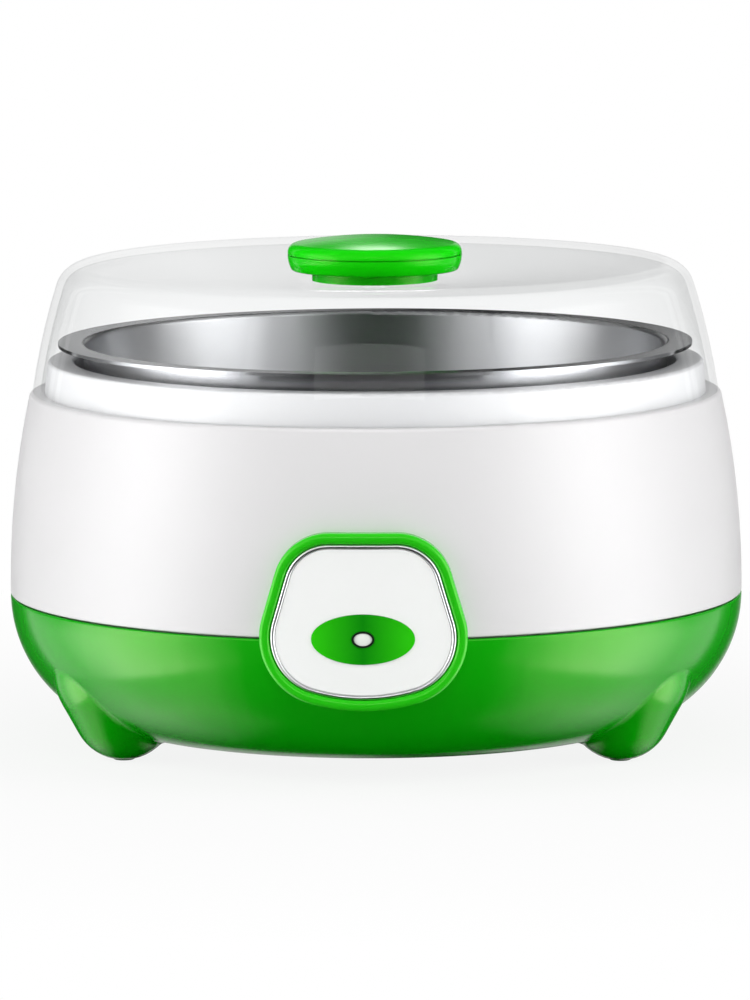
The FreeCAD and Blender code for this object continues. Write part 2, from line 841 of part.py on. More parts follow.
def base_shell():
    """The base, hollowed: the panel's seat, posts for screws and the lamp board, and the inlet's hole."""
    seat = common("panel_pod", panel_prism("pod_prism", "pod_inset"), drum("pod_drum", "pod_face"))
    inlet_seat = prism("inlet_boss", inlet_outline("inlet_flange_half", "inlet_boss_round"),
                       "inlet_face - inlet_flange", "0.2 * body_radius")
    solid = joined("base_solid", base_form(), seat, inlet_seat)
    hollows = [barrel_form("base_cavity", "wall")]
    for index, (x, y) in enumerate(around("foot_ring", BACK_FOOT_ANGLE)):
        hollows.append(sphere(f"foot_hollow_{index}", "foot_hollow", (x, y, "foot_hollow_z")))
    hollow = cut("base_hollow", solid, *hollows)
    posts = []
    holes = []
    for index, (x, y) in enumerate(around("screw_ring", FRONT_POST_ANGLE)):
        posts.append(cylinder(f"base_post_{index}", "base_post_radius",
                              "base_post_top_z - bottom_z - 0.5 * wall", (x, y, "bottom_z + 0.5 * wall")))
        holes.append(cylinder(f"base_counterbore_{index}", "counterbore", "screw_seat_z", (x, y, "0")))
        holes.append(cylinder(f"base_hole_{index}", "shank_radius + screw_gap", "base_post_top_z + 1",
                              (x, y, "0")))
    for index, (x, y) in enumerate(around("foot_ring", BACK_FOOT_ANGLE)):
        holes.append(cylinder(f"pad_recess_{index}", "pad_radius + pad_gap", "foot_flat_z + pad_depth + 1",
                              (x, y, "-1")))
    for side, sign in (("left", "-"), ("right", "")):
        spot = (f"{sign}post_x", "-board_y - board_thick", "oval_z")
        posts.append(cylinder(f"board_post_{side}", "post_radius",
                              "body_radius - board_y - board_thick - 0.5 * wall", spot, FACING_FRONT))
        holes.append(cylinder(f"board_pilot_{side}", "small_shank + screw_gap", "small_screw_length",
                              spot, FACING_FRONT))
    holes.append(oval_prism("lamp_hole", "lamp_half_wide + panel_gap", "lamp_half_high + panel_gap",
                            "-board_y - board_thick", PAST_FRONT))
    holes.append(prism("inlet_hole", inlet_outline("inlet_straight", "(inlet_body_round + panel_gap)"),
                       "inlet_face", "2 * inlet_depth"))
    return cut("base_shell", joined("base_posts", hollow, *posts), *holes)


# Front panel

def beaded(name, solid, face, radius):
    """A body of a solid whose edges on an upright cylinder, its face, are rounded over."""
    doc.recompute()
    body = new_body(name)
    body.BaseFeature = solid
    doc.recompute()
    names = []
    for index, edge in enumerate(body.Tip.Shape.Edges, 1):
        points = edge.discretize(5)
        if all(abs(math.hypot(p.x, p.y) - number(face)) < TOUCH for p in points):
            names.append(f"Edge{index}")
    return fillet(body, name + "_bead", body.Tip, names, radius)


def panel_frame():
    """The rounded green bead, which sits down on the body all round and laps over the edge of its seat."""
    outline = panel_prism("frame_prism", "0", "frame_inset")
    ring = common("frame_ring", outline, drum("frame_drum", "frame_face"))
    pod = common("frame_pod", panel_prism("frame_pod_prism", "pod_inset"), drum("frame_pod_drum", "pod_face"))
    fitted = cut("frame_fitted", ring, barrel_form("frame_back", "0"), pod)
    return beaded("panel_frame", fitted, "frame_face", "frame_round")


def band(name, outline, inner, outer):
    """The part of a prism between two upright cylinders about the middle."""
    front = common(name + "_front", outline, drum(name + "_outer", outer))
    return cut(name, front, drum(name + "_inner", inner))


def chrome_ring():
    """The bright half-round wire that lies inside the bead."""
    outline = panel_prism("chrome_prism", "(frame_inset + panel_gap)", "chrome_inset")
    wire = band("chrome_wire", outline, "pod_face", "chrome_face")
    return beaded("chrome_ring", wire, "chrome_face", "chrome_round")


def front_plate():
    outline = panel_prism("plate_prism", "(chrome_inset + panel_gap)")
    plate = band("plate_blank", outline, "pod_face", "plate_face")
    hole = oval_prism("plate_hole", "oval_half_wide + panel_gap", "oval_half_high + panel_gap",
                      "-board_y", PAST_FRONT)
    return cut("front_plate", plate, hole)


def oval_window():
    outline = oval_prism("window_prism", "oval_half_wide", "oval_half_high", "-board_y", PAST_FRONT)
    blank = band("window_blank", outline, "pod_face", "window_face")
    hole = oval_prism("window_hole", "lamp_half_wide + panel_gap", "lamp_half_high + panel_gap",
                      "-board_y", PAST_FRONT)
    return cut("oval_window", blank, hole)


def lamp_ring():
    outline = oval_prism("lamp_ring_prism", "lamp_half_wide", "lamp_half_high", "-body_radius + wall",
                         "wall * 3")
    bore = oval_prism("lamp_ring_bore", "lens_half_wide + panel_gap", "lens_half_high + panel_gap",
                      "-board_y", PAST_FRONT)
    return cut("lamp_ring", common("lamp_ring_front", outline, drum("lamp_ring_drum", "chrome_face")), bore)


def lamp_lens():
    outline = oval_prism("lens_prism", "lens_half_wide", "lens_half_high", "-lens_back_y", PAST_FRONT)
    ball = sphere("lens_ball_form", "lens_ball", ("0", "-lens_back_y", "oval_z"))
    return common("lamp_lens", outline, ball)


# Lamp board

def lamp_board():
    blank = box("board_blank", ("2 * board_half", "board_thick", "2 * board_half_high"),
                ("-board_half", "-board_y - board_thick", "oval_z - board_half_high"))
    holes = [cylinder(f"board_hole_{side}", "small_shank + screw_gap", "3 * board_thick",
                      (f"{sign}post_x", "-board_y + board_thick", "oval_z"), FACING_FRONT)
             for side, sign in (("left", "-"), ("right", ""))]
    return cut("lamp_board", blank, *holes)


def lamp_led():
    """A round lamp that points forward: a rim against the board and a domed body."""
    tip = "led_length - led_radius"
    led = turned("lamp_led", [
        ("0", "0"),
        ("led_rim", "0"),
        ("led_rim", "led_rim_thick"),
        ("led_radius", "led_rim_thick"),
        ("led_radius", tip, "led_radius", 1),
        ("0", "led_length"),
    ])
    place(led, ("0", "-board_y - board_thick", "oval_z"), FACING_FRONT)
    return led


def lamp_resistor():
    """A dog-bone resistor lying across the back of the board."""
    resistor = turned("lamp_resistor", [
        ("0", "-resistor_half"),
        ("resistor_radius", "-resistor_half"),
        ("resistor_radius", "-0.5 * resistor_half"),
        ("0.8 * resistor_radius", "-0.4 * resistor_half"),
        ("0.8 * resistor_radius", "0.4 * resistor_half"),
        ("resistor_radius", "0.5 * resistor_half"),
        ("resistor_radius", "resistor_half"),
        ("0", "resistor_half"),
    ])
    place(resistor, ("0", "-board_y + resistor_radius", "resistor_z"), ALONG_X)
    return resistor


def board_screws():
    """Two small screws through the board into its posts."""
    body = turned("board_screws", [
        ("post_x", "-board_y + small_head_thick"),
        ("post_x", "-board_y - small_screw_length"),
        ("post_x + small_shank", "-board_y - small_screw_length + small_shank"),
        ("post_x + small_shank", "-board_y"),
        ("post_x + small_head_radius", "-board_y"),
        ("post_x + small_head_radius", "-board_y + small_head_thick - 0.3"),
        ("post_x + small_head_radius - 0.3", "-board_y + small_head_thick"),
    ], "post_x", "XY_Plane", "oval_z")
    mirror(body, "board_screw_pair", [body.Tip])
    return body


# Warming plate and heater

def heating_plate():
    """The plate that the pot stands on, with two bosses below for the clamp's screws."""
    under = "plate_top_z - plate_thick"
    plate = turned("plate_disc", [
        ("0", under),
        ("plate_radius", under),
        ("plate_radius", "plate_top_z - plate_chamfer"),
        ("plate_radius - plate_chamfer", "plate_top_z"),
        ("0", "plate_top_z"),
    ])
    bosses = []
    holes = []
    for side, sign in (("left", "-"), ("right", "")):
        spot = (f"{sign}bridge_screw_x", "0", f"{under} - plate_boss_drop")
        bosses.append(cylinder(f"plate_boss_{side}", "plate_boss", "plate_boss_drop + 1", spot))
        holes.append(cylinder(f"plate_hole_{side}", "shank_radius + screw_gap", "plate_boss_drop + 2", spot))
    holes.append(cylinder("plate_clip_hole", "small_shank + screw_gap", "2",
                          ("0", "fuse_y + clip_screw_reach", under)))
    return cut("heating_plate", joined("plate_bossed", plate, *bosses), *holes)


def plate_seal():
    top = "plate_top_z - plate_thick"
    return turned("plate_seal", [
        ("seal_inner", f"{top} - seal_thick"),
        ("plate_radius", f"{top} - seal_thick"),
        ("plate_radius", top),
        ("seal_inner", top),
    ])


FILM_TOP = "(plate_top_z - plate_thick)"
UPPER_ELECTRODE_TOP = f"({FILM_TOP} - film_thick)"
CHIP_TOP = f"({UPPER_ELECTRODE_TOP} - electrode_thick)"
LOWER_ELECTRODE_TOP = f"({CHIP_TOP} - chip_thick)"
LOWER_FILM_TOP = f"({LOWER_ELECTRODE_TOP} - electrode_thick)"
BRIDGE_SEAT = f"({LOWER_FILM_TOP} - film_thick)"


def slab(name, half, half_width, top, thick):
    """A flat piece of the heater, centred under the plate."""
    return box(name, (f"2 * ({half})", f"2 * ({half_width})", thick),
               (f"-({half})", f"-({half_width})", f"{top} - {thick}"))


def ptc_chip():
    return slab("ptc_chip", "heater_half", "heater_half_width", CHIP_TOP, "chip_thick")


def electrode(name, top, tab_x):
    strip = slab(name + "_strip", "heater_half", "heater_half_width", top, "electrode_thick")
    tab = box(name + "_tab", ("tab_width", "2 * tab_reach", "electrode_thick"),
              (f"{tab_x} - 0.5 * tab_width", "-tab_reach", f"{top} - electrode_thick"))
    return joined(name, strip, tab)


def compound(name, *items):
    item = doc.addObject("Part::Compound", name)
    item.Links = list(items)
    return item


def ptc_electrodes():
    return compound("ptc_electrodes", electrode("upper_electrode", UPPER_ELECTRODE_TOP, "-tab_x"),
                    electrode("lower_electrode", LOWER_ELECTRODE_TOP, "tab_x"))


def ptc_insulation():
    films = [slab(name, "heater_half + film_margin", "heater_half_width + film_margin", top, "film_thick")
             for name, top in (("upper_film", FILM_TOP), ("lower_film", LOWER_FILM_TOP))]
    return compound("ptc_insulation", *films)


def heater_bridge():
    """The strap that presses the heater up and holds the plate down against the liner's floor."""
    top = "liner_floor_z - liner_floor"
    flat = f"{top} - bridge_thick"
    slope_end = "bridge_flat + bridge_slope"
    right_under = [
        ("bridge_flat + 0.5 * bridge_thick", f"{BRIDGE_SEAT} - bridge_thick"),
        (f"{slope_end} + 0.5 * bridge_thick", flat),
        ("bridge_half", flat),
    ]
    right_over = [
        ("bridge_half", top),
        (slope_end, top),
        ("bridge_flat", BRIDGE_SEAT),
    ]
    right = right_under + right_over
    left = [(f"-({x})", z) for x, z in reversed(right)]
    strap = new_body("heater_bridge")
    sketch = new_sketch(strap, "bridge_profile", "XZ_Plane")
    add_outline(sketch, right + left)
    pad(strap, "bridge_strip", sketch, "bridge_width", middle=True)
    holes = new_sketch(strap, "bridge_holes_outline", "XY_Plane", flat)
    for sign in ("-", ""):
        add_circle(holes, f"{sign}bridge_screw_x", "0", "shank_radius + screw_gap")
    pocket(strap, "bridge_holes", holes, "2 * bridge_thick", True)
    return strap


def bridge_screws():
    seat = "liner_floor_z - liner_floor - bridge_thick"
    profile = screw_profile("bridge_screw_x", seat, "0.5 * screw_length")
    body = turned("bridge_screws", profile, "bridge_screw_x")
    shaft = body.Tip
    slot = add_cross_slot(body, "bridge_screw_slot", f"{seat} - head_thick", "bridge_screw_x")
    pattern(body, "bridge_screw_pair", [shaft, slot], 2)
    return body


FUSE_Z = "(plate_top_z - plate_thick - sleeve_radius)"


def thermal_fuse():
    """The cut-out: a can with a resin end and a wire at each end, lying across under the plate."""
    fuse = turned("thermal_fuse", [
        ("0", "-fuse_wire_half"),
        ("fuse_wire", "-fuse_wire_half"),
        ("fuse_wire", "-fuse_half"),
        ("fuse_radius", "-fuse_half"),
        ("fuse_radius", "0.7 * fuse_half"),
        ("fuse_wire", "fuse_half"),
        ("fuse_wire", "fuse_wire_half"),
        ("0", "fuse_wire_half"),
    ])
    place(fuse, ("0", "fuse_y", FUSE_Z), ALONG_X)
    return fuse


def fuse_sleeve():
    sleeve = turned("fuse_sleeve", [
        ("sleeve_radius - sleeve_wall", "-sleeve_half"),
        ("sleeve_radius", "-sleeve_half"),
        ("sleeve_radius", "sleeve_half"),
        ("sleeve_radius - sleeve_wall", "sleeve_half"),
    ])
    place(sleeve, ("0", "fuse_y", FUSE_Z), ALONG_X)
    return sleeve


def fuse_clip():
    """A saddle round the sleeve with one foot screwed to the plate."""
    under = "plate_top_z - plate_thick"
    outer = "sleeve_radius + clip_thick"
    clip = new_body("fuse_clip")
    sketch = new_sketch(clip, "clip_profile", "YZ_Plane")
    add_outline(sketch, [
        ("fuse_y - sleeve_radius", under),
        ("fuse_y - sleeve_radius", FUSE_Z, "sleeve_radius", 1),
        ("fuse_y", f"{FUSE_Z} - sleeve_radius", "sleeve_radius", 1),
        ("fuse_y + sleeve_radius", FUSE_Z),
        ("fuse_y + sleeve_radius", under),
        ("fuse_y + clip_reach", under),
        ("fuse_y + clip_reach", f"{under} - clip_thick"),
        (f"fuse_y + {outer}", f"{under} - clip_thick"),
        (f"fuse_y + {outer}", FUSE_Z, outer, -1),
        ("fuse_y", f"{FUSE_Z} - ({outer})", outer, -1),
        (f"fuse_y - ({outer})", FUSE_Z),
        (f"fuse_y - ({outer})", under),
    ])
    pad(clip, "clip_strip", sketch, "clip_width", middle=True)
    hole = new_sketch(clip, "clip_hole_outline", "XY_Plane", f"{under} - clip_thick")
    add_circle(hole, "0", "fuse_y + clip_screw_reach", "small_shank + screw_gap")
    pocket(clip, "clip_hole", hole, "2 * clip_thick", True)
    return clip


def clip_screw():
    seat = "plate_top_z - plate_thick - clip_thick"
    screw = turned("clip_screw", [
        ("0", "-small_head_thick"),
        ("small_head_radius", "-small_head_thick + 0.3"),
        ("small_head_radius", "0"),
        ("small_shank", "0"),
        ("small_shank", "clip_thick + 1.8"),
        ("0", "clip_thick + 1.8"),
    ])
    place(screw, ("0", "fuse_y + clip_screw_reach", seat))
    return screw


# Appliance inlet

def inlet_housing():
    """A two-pin inlet: a flange on the seat, a body through the wall and an open recess."""
    flange = prism("inlet_flange_form", inlet_outline("inlet_flange_half", "inlet_flange_round"),
                   "inlet_face", "inlet_flange")
    body = prism("inlet_body", inlet_outline("inlet_straight", "inlet_body_round"),
                 "inlet_face", "inlet_depth")
    recess = prism("inlet_recess", inlet_outline("inlet_straight", "inlet_recess_round"), "inlet_face + 1",
                   "inlet_recess_depth + 1")
    holes = [cylinder(f"inlet_pin_hole_{side}", "pin_radius + panel_gap", "2 * inlet_depth",
                      (f"{sign}pin_x", "inlet_face", "inlet_z"), FACING_FRONT)
             for side, sign in (("left", "-"), ("right", ""))]
    return cut("inlet_housing", joined("inlet_solid", flange, body), recess, *holes)


def inlet_pins():
    """Two round pins with domed tips, sunk a little inside the recess."""
    tip = "inlet_face - pin_sunk"
    tail = "inlet_face - inlet_depth - pin_tail"
    body = turned("inlet_pins", [
        ("pin_x", tail),
        ("pin_x + pin_radius", tail),
        ("pin_x + pin_radius", f"{tip} - pin_radius", "pin_radius", 1),
        ("pin_x", tip),
    ], "pin_x", "XY_Plane", "inlet_z")
    mirror(body, "inlet_pin_pair", [body.Tip])
    return body


# Wires

def tube(points, radius):
    """A round wire along straight runs joined by arcs, each as large as its two runs allow."""
    spots = [Vector(*(number(value) for value in point)) for point in points]
    edges = []
    here = spots[0]
    for before, corner, after in zip(spots, spots[1:], spots[2:]):
        back = before - corner
        ahead = after - corner
        half_turn = (math.pi - back.getAngle(ahead)) / 2
        reach = RUN_SHARE * min(back.Length, ahead.Length)
        bend = reach / math.tan(half_turn)
        start = corner + back.normalize() * reach
        finish = corner + ahead.normalize() * reach
        inward = (back + ahead).normalize()
        middle = corner + inward * (bend / math.cos(half_turn) - bend)
        edges.append(Part.LineSegment(here, start).toShape())
        edges.append(Part.Arc(start, middle, finish).toShape())
        here = finish
    edges.append(Part.LineSegment(here, spots[-1]).toShape())
    path = Part.Wire(edges)
    size = number(radius)
    section = Part.Wire(Part.makeCircle(size, spots[0], spots[1] - spots[0]))
    solid = path.makePipeShell([section], True, False)
    expected = math.pi * size ** 2 * path.Length
    if abs(solid.Volume - expected) > 0.01 * expected:
        raise ValueError(f"wire volume {solid.Volume:.1f}, expected {expected:.1f}")
    return solid


def lead(name, radius, *routes):
    item = doc.addObject("Part::Feature", name)
    tubes = [tube(route, radius) for route in routes]
    item.Shape = tubes[0] if len(tubes) == 1 else Part.makeCompound(tubes)
    return item


PIN_END = ("inlet_face - inlet_depth - 0.5 * pin_tail", "inlet_z - pin_radius")
TAB_MIDDLE = f"{LOWER_ELECTRODE_TOP} - 0.5 * electrode_thick"


def live_lead():
    """From the right pin down and forward under the liner to the cut-out."""
    return lead("live_lead", "lead_radius", [
        ("pin_x", *PIN_END),
        (4.6, 73.2, 15),
        (10, 60, 10.8),
        (17, 46, 11.2),
        (21.5, 35.5, 13.5),
        (19, "fuse_y", FUSE_Z),
        ("fuse_wire_half", "fuse_y", FUSE_Z),
    ])


def fuse_lead():
    """A short loop from the cut-out back to the heater's upper electrode."""
    return lead("fuse_lead", "lead_radius", [
        ("-fuse_wire_half", "fuse_y", FUSE_Z),
        (-17.5, "fuse_y", FUSE_Z),
        (-18.5, 22.4, 17.4),
        ("-tab_x", "tab_reach + 5.5", CHIP_TOP),
        ("-tab_x", "tab_reach", CHIP_TOP),
    ])


def neutral_lead():
    """From the left pin down and forward, under the cut-out, to the heater's lower electrode."""
    return lead("neutral_lead", "lead_radius", [
        ("-pin_x", *PIN_END),
        (-4.6, 73.2, 15),
        (-3, 60, 10.8),
        (4, 45, 10.2),
        (11, 32, 10.8),
        ("tab_x", 24, 13.2),
        ("tab_x", "tab_reach + 4", TAB_MIDDLE),
        ("tab_x", "tab_reach", TAB_MIDDLE),
    ])


def lamp_leads():
    """Two thin wires from the lamp board down and back to the heater's electrodes."""
    routes = []
    for sign, tab_z in (("-", CHIP_TOP), ("", TAB_MIDDLE)):
        routes.append([
            (f"{sign}5", "-board_y + lamp_lead_radius", 31.5),
            (f"{sign}6", -75, 20),
            (f"{sign}9", -66, 12),
            (f"{sign}11.5", -50, 11),
            (f"{sign}12.5", -34, 11.5),
            (f"{sign}tab_x", -24, 13.6),
            (f"{sign}tab_x", "-tab_reach - 4", tab_z),
            (f"{sign}tab_x", "-tab_reach", tab_z),
        ])
    return lead("lamp_leads", "lamp_lead_radius", *routes)


# Fasteners and pads below

def base_screws():
    """Three screws from below, through the base's posts into the liner's bosses."""
    profile = screw_profile("screw_ring", "screw_seat_z", "screw_length")
    body = turned("base_screws", profile, "screw_ring", "YZ_Plane")
    shaft = body.Tip
    slot = add_cross_slot(body, "base_screw_slot", "screw_seat_z - head_thick", "0", "screw_ring")
    pattern(body, "base_screw_ring", [shaft, slot], FEET)
    body.Placement = Placement(Vector(), Rotation(Vector(0, 0, 1), FRONT_POST_ANGLE - BACK_FOOT_ANGLE))
    return body


def foot_pads():
    """Three thin pads let into the flats of the feet, a little proud."""
    top = "foot_flat_z + pad_depth"
    body = turned("foot_pads", [
        ("foot_ring", "0"),
        ("foot_ring + pad_radius - pad_round", "0", "pad_round", 1),
        ("foot_ring + pad_radius", "pad_round"),
        ("foot_ring + pad_radius", top),
        ("foot_ring", top),
    ], "foot_ring", "YZ_Plane")
    pattern(body, "foot_pad_ring", [body.Tip], FEET)
    return body


MAKERS = (
    lid_dome, knob_cap, knob_base, knob_screw, knob_washer,
    inner_pot,
    outer_shell, inner_liner, base_shell,
    panel_frame, chrome_ring, front_plate, oval_window, lamp_ring, lamp_lens,
    lamp_board, lamp_led, lamp_resistor, board_screws,
    heating_plate, plate_seal, ptc_chip, ptc_electrodes, ptc_insulation, heater_bridge, bridge_screws,
    thermal_fuse, fuse_sleeve, fuse_clip, clip_screw,
    inlet_housing, inlet_pins, live_lead, fuse_lead, neutral_lead, lamp_leads,
    base_screws, foot_pads,
)
pieces = [make() for make in MAKERS]
doc.recompute()

failed = [item.Label for item in doc.Objects if {"Invalid", "Error"} & set(item.State)]
failed += [piece.Label for piece in pieces if piece.Shape.isNull() or not piece.Shape.isValid()]
failed += [piece.Label for piece in pieces if not piece.Shape.Solids]
if failed:
    raise RuntimeError(f"failed: {failed}")

os.makedirs("parts", exist_ok=True)
for piece in pieces:
    piece.Shape.exportStep(f"parts/{piece.Label}.step")
    print(f"{piece.Label}: {len(piece.Shape.Solids)} solid(s), {piece.Shape.Volume / 1000:.3f} cm3")
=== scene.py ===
# Looks of the yogurt maker: its finishes, the studio light and the camera. In metres, with the front at -Y.
import bpy
import math
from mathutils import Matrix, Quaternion, Vector


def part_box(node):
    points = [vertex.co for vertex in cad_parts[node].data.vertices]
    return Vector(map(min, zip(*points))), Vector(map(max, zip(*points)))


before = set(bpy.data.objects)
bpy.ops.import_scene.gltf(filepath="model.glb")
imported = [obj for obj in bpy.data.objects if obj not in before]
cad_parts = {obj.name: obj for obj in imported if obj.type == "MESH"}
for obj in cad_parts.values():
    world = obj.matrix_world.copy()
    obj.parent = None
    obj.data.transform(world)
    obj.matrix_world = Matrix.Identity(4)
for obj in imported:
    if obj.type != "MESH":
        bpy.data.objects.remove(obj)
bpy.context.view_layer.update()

PURE_WHITE = (1.0, 1.0, 1.0, 1.0)
PLASTIC_IOR = 1.48
TINY = 1e-9


# Shader maths

class Value:
    """An output in a node tree, so that maths on it reads as Python."""

    def __init__(self, finish, socket):
        self.finish = finish
        self.socket = socket

    def __add__(self, other):
        return self.finish.math("ADD", self, other)

    def __sub__(self, other):
        return self.finish.math("SUBTRACT", self, other)

    def __rsub__(self, other):
        return self.finish.math("SUBTRACT", other, self)

    def __mul__(self, other):
        return self.finish.math("MULTIPLY", self, other)

    def __truediv__(self, other):
        return self.finish.math("DIVIDE", self, other)

    def __rtruediv__(self, other):
        return self.finish.math("DIVIDE", other, self)

    def __abs__(self):
        return self.finish.math("ABSOLUTE", self)

    __radd__ = __add__
    __rmul__ = __mul__


class Finish:
    """A material or backdrop under construction: its node tree, and what makes nodes in it."""

    def __init__(self, name, owner=None):
        self.material = owner or bpy.data.materials.new(name)
        self.material.use_nodes = True
        self.tree = self.material.node_tree
        self.tree.nodes.clear()

    def node(self, kind, settings=None, inputs=None, output=0):
        """A node of a kind, with its settings made first and then the values or links of its sockets."""
        new = self.tree.nodes.new("ShaderNode" + kind)
        for key, setting in (settings or {}).items():
            if key == "stops":
                self.set_stops(new.color_ramp, setting)
            else:
                setattr(new, key, setting)
        for key, given in (inputs or {}).items():
            if isinstance(given, Value):
                self.tree.links.new(given.socket, new.inputs[key])
            else:
                new.inputs[key].default_value = given
        return Value(self, new.outputs[output]) if new.outputs else None

    @staticmethod
    def set_stops(ramp, stops):
        while len(ramp.elements) < len(stops):
            ramp.elements.new(0.5)
        for element, (position, colour) in zip(ramp.elements, stops):
            element.position = position
            element.color = colour

    def math(self, operation, a, b=0.0):
        return self.node("Math", {"operation": operation}, {0: a, 1: b})

    def larger(self, a, b):
        return self.math("MAXIMUM", a, b)

    def clamp(self, value):
        """A value kept between 0 and 1."""
        return self.math("MINIMUM", self.larger(value, 0.0), 1.0)

    def fade(self, value, start, width):
        """0 up to a start and 1 from a width further on. A negative width turns it round."""
        return self.clamp((value - start) / width)

    def between(self, factor, low, high):
        """A value that goes from low to high as the factor goes from 0 to 1."""
        return factor * (high - low) + low

    def place(self):
        """The point on the object."""
        return self.node("TexCoord", output="Object")

    def facing(self):
        """The way that the surface faces."""
        return self.node("TexCoord", output="Normal")

    def axes(self, vector):
        """The x, y and z of a vector, as three values."""
        split = self.node("SeparateXYZ", inputs={0: vector}).socket.node
        return [Value(self, socket) for socket in split.outputs]

    def vector(self, x, y, z):
        return self.node("CombineXYZ", inputs={0: x, 1: y, 2: z})

    def radius(self, x, y):
        """How far a point is from the upright axis, and never quite 0."""
        return self.math("SQRT", x * x + y * y + TINY)

    def noise(self, vector, scale, detail=3.0, roughness=0.5):
        return self.node("TexNoise", inputs={
            "Vector": vector, "Scale": scale, "Detail": detail, "Roughness": roughness})

    def ramp(self, factor, stops):
        return self.node("ValToRGB", {"stops": stops}, {0: factor})

    def tint(self, factor, first, second):
        """A colour between two, by a factor. Sockets 6 and 7 and output 2 are the colours of a Mix node."""
        return self.node("Mix", {"data_type": "RGBA"}, {0: factor, 6: first, 7: second}, output=2)

    def bump(self, height, strength, distance):
        return self.node("Bump", inputs={"Height": height, "Strength": strength, "Distance": distance})

    def surface(self, inputs):
        shader = self.node("BsdfPrincipled", inputs=inputs)
        self.node("OutputMaterial", inputs={"Surface": shader})
        return self.material


def rgb(red, green, blue):
    """An sRGB colour, from 0 to 255 each, as the linear colour that a shader takes."""
    def linear(channel):
        share = channel / 255
        return share / 12.92 if share <= 0.04045 else ((share + 0.055) / 1.055) ** 2.4
    return (linear(red), linear(green), linear(blue), 1.0)


def grey(share):
    """A linear grey, as a share of white."""
    return (share, share, share, 1.0)


# Finishes

def moulded(name, colour, deep, gloss, shine=PURE_WHITE, level=0.5, thin=0.0):
    """Injection-moulded plastic: a little uneven in colour and gloss, with a fine grain. Its reflections
    have a tint and a level of their own, and light goes a little way into it where it is thin."""
    finish = Finish(name)
    place = finish.place()
    clouds = finish.noise(place, scale=38.0, detail=2.0)
    smears = finish.noise(place, scale=130.0, detail=4.0, roughness=0.6)
    grain = finish.noise(place, scale=1800.0, detail=2.0)
    return finish.surface({
        "Base Color": finish.tint(clouds, colour, deep),
        "Roughness": finish.between(smears, low=gloss * 0.75, high=gloss * 1.35),
        "Normal": finish.bump(grain, strength=0.006, distance=0.0002),
        "IOR": PLASTIC_IOR,
        "Specular IOR Level": level,
        "Specular Tint": shine,
        "Subsurface Weight": thin,
        "Subsurface Radius": (1.0, 1.0, 1.0),
        "Subsurface Scale": 0.002,
    })


def oval_with_painted_light(name, middle, ends, half):
    """The glossy oval: green that lightens from its middle to both ends, a painted highlight towards the
    ends over painted shade in the middle.
    """
    finish = Finish(name)
    place = finish.place()
    x, _, _ = finish.axes(place)
    # Painted light: the share by which the green lightens from the darker middle to the brighter ends.
    out = finish.fade(abs(x), start=0.0, width=half)
    flecks = finish.noise(place, scale=2400.0, detail=2.0)
    return finish.surface({
        "Base Color": finish.tint(out * 0.92 + flecks * 0.08, middle, ends),
        "Roughness": finish.between(flecks, low=0.12, high=0.2),
        "Normal": finish.bump(flecks, strength=0.02, distance=0.0002),
        "IOR": PLASTIC_IOR,
    })


def clear_plastic(name, shine, body=1.0):
    """Polished clear plastic with faint flow lines. A body under 1 suits a small piece that hardly shows."""
    finish = Finish(name)
    place = finish.place()
    flow = finish.noise(place, scale=22.0, detail=2.0)
    haze = finish.noise(place, scale=90.0)
    return finish.surface({
        "Base Color": (0.968, 0.973, 0.973, 1.0),
        "Roughness": finish.between(haze, low=0.0, high=0.03),
        "Normal": finish.bump(flow, strength=0.02, distance=0.0006),
        "Transmission Weight": 1.0,
        "IOR": 1.0,
        "Coat Weight": shine,
        "Alpha": body,
        "Coat Roughness": 0.02,
    })


def brushed(name, colour, dark, outside_painted_darker, rough, polish, lines=9000.0):
    """Sheet metal: brushed in circles on the faces that look inwards, and polished on the others. The others
    also take a darker colour, which is painted shade; their polish is real.
    """
    finish = Finish(name)
    place = finish.place()
    x, y, z = finish.axes(place)
    across, along, _ = finish.axes(finish.facing())
    radius = finish.radius(x, y)
    sweep = 3.0
    round_way = finish.vector(x / radius * sweep, y / radius * sweep, (z + radius) * lines)
    strokes = finish.noise(round_way, scale=1.0, roughness=0.7)
    haze = finish.noise(place, scale=30.0)
    inward = finish.fade((x * across + y * along) / radius, start=-0.25, width=-0.25)
    patchy = finish.between(strokes * 0.5 + haze * 0.5, low=0.7, high=1.3)
    inside = finish.tint(strokes * 0.6 + haze * 0.4, colour, dark)
    return finish.surface({
        # Painted shade: faces that do not look inwards take the darker outside colour.
        "Base Color": finish.tint(inward, outside_painted_darker, inside),
        "Metallic": 1.0,
        "Roughness": finish.between(inward, low=polish, high=rough) * patchy,
        "Anisotropic": 0.9,
        "Anisotropic Rotation": 0.25,
        "Normal": finish.bump(strokes * inward, strength=0.08, distance=0.00005),
    })


def metal(name, colour, dark, rough):
    """Plated or plain metal with a little cloudiness and fine scuffs."""
    finish = Finish(name)
    place = finish.place()
    haze = finish.noise(place, scale=160.0, detail=4.0, roughness=0.6)
    scuffs = finish.noise(place, scale=1500.0, roughness=0.7)
    return finish.surface({
        "Base Color": finish.tint(haze, colour, dark),
        "Metallic": 1.0,
        "Roughness": finish.between(haze * 0.6 + scuffs * 0.4, low=rough * 0.7, high=rough * 1.4),
        "Normal": finish.bump(scuffs, strength=0.05, distance=0.00005),
    })


def matt(name, colour, deep, rough, scale=900.0, depth=0.25):
    """A dull, slightly grainy surface: rubber, film, ceramic or woven sleeve."""
    finish = Finish(name)
    place = finish.place()
    grain = finish.noise(place, scale, detail=4.0, roughness=0.6)
    clouds = finish.noise(place, scale=90.0)
    return finish.surface({
        "Base Color": finish.tint(grain * 0.5 + clouds * 0.5, colour, deep),
        "Roughness": finish.between(grain, low=rough * 0.85, high=rough * 1.15),
        "Normal": finish.bump(grain, strength=depth, distance=0.0002),
        "IOR": 1.45,
    })


